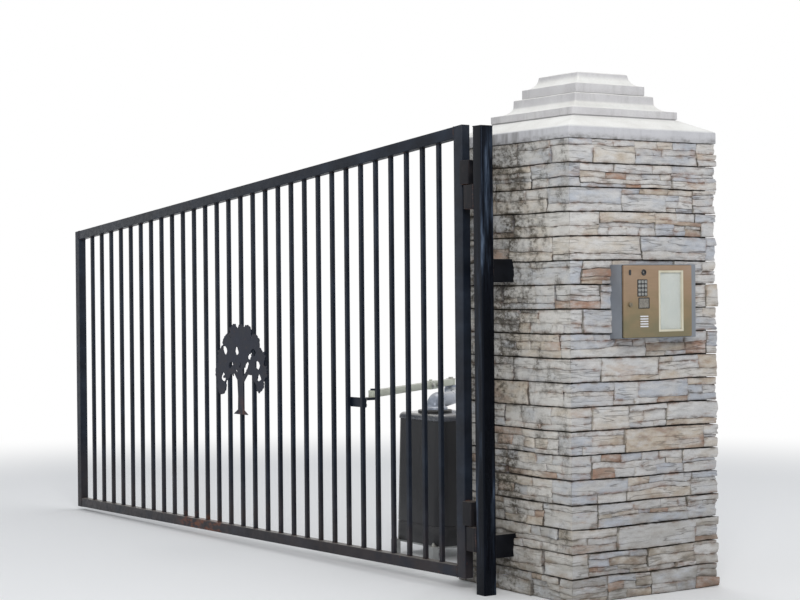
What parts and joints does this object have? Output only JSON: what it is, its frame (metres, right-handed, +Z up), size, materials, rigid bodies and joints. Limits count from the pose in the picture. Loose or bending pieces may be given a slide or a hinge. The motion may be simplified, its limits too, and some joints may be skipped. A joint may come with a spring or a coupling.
{
  "type": "single swing driveway gate",
  "caption": "Picket driveway gate leaf with a tree ornament, hinged on a post beside a stone pier with keypad, moved by an operator with a folding arm.",
  "frame": {"origin": "middle of the stone pier's foot, at ground level", "axes": "+X along the street to the right, +Y back from the street, +Z up; the leaf stands open, 2.8 degrees short of square to the street"},
  "size_m": [1.165, 4.3721, 2.2434],
  "materials": {
    "veneer_stone": "split face",
    "block_core": "rough",
    "cast_stone": "smooth cast, weathered",
    "post_paint": "gloss black",
    "leaf_paint": "satin black, dusty",
    "entry_body": "grey enamel",
    "entry_face": "brushed, bronze tint",
    "entry_bright": "satin",
    "entry_frame": "cream, satin",
    "entry_glass": "clear over pale card",
    "entry_black": "gloss",
    "operator_plastic": "moulded, fine texture",
    "operator_steel": "galvanised grey",
    "operator_dark": "black",
    "crank_grey": "light grey, gloss",
    "arm_pale": "pale zinc",
    "zinc_bolt": "zinc plated"
  },
  "bodies": {
    "root": {"pier_core": "block_core", "front_veneer": "veneer_stone", "back_veneer": "veneer_stone", "left_veneer": "veneer_stone", "right_veneer": "veneer_stone", "cap_slab": "cast_stone", "cap_middle_tier": "cast_stone", "cap_top_tier": "cast_stone", "hinge_post": "post_paint", "hinge_post_cap": "post_paint", "lower_post_bracket": "post_paint", "upper_post_bracket": "post_paint", "lower_fixed_hinge": "post_paint", "upper_fixed_hinge": "post_paint", "entry_housing": "entry_body", "entry_fascia": "entry_face", "entry_window_frame": "entry_frame", "entry_window": "entry_glass", "entry_keypad": "entry_black", "entry_keys": "entry_bright", "entry_display": "entry_black", "entry_camera": "entry_black", "entry_lens": "entry_black", "entry_speaker": "entry_bright", "entry_lock": "entry_bright", "operator_feet": "operator_steel", "operator_base": "operator_steel", "operator_housing": "operator_plastic", "operator_lid": "operator_plastic", "operator_hub": "operator_dark"},
    "leaf": {"hinge_stile": "leaf_paint", "latch_stile": "leaf_paint", "top_rail": "leaf_paint", "bottom_rail": "leaf_paint", "pickets": "leaf_paint", "hinge_stile_cap": "leaf_paint", "latch_stile_cap": "leaf_paint", "tree_ornament": "leaf_paint", "operator_bracket": "leaf_paint", "lower_turning_hinge": "leaf_paint", "upper_turning_hinge": "leaf_paint"},
    "crank": {"crank_arm": "crank_grey"},
    "connecting_arm": {"connecting_arm": "arm_pale", "elbow_pin": "zinc_bolt", "arm_adjuster": "arm_pale"}
  },
  "joints": [
    {"name": "gate_hinge", "type": "hinge", "parent": "root", "child": "leaf", "pos_m": [-0.55225, 0.08475, 0.288], "axis": [0, 0, 1], "range_deg": [0, 87.2]},
    {"name": "crank_shaft", "type": "hinge", "parent": "root", "child": "crank", "pos_m": [-0.07, 1.075, 0.714], "axis": [0, 0, 1], "range_deg": [0, 143.61]},
    {"name": "arm_pivot", "type": "hinge", "parent": "leaf", "child": "connecting_arm", "pos_m": [-0.50936, 0.94788, 0.8], "axis": [0, 0, 1], "range_deg": [-74.69, 0]}
  ],
  "couplings": [
    {"joint": "crank_shaft", "follows": "gate_hinge", "ratio": 1.6457},
    {"joint": "arm_pivot", "follows": "gate_hinge", "ratio": -0.85541}
  ]
}
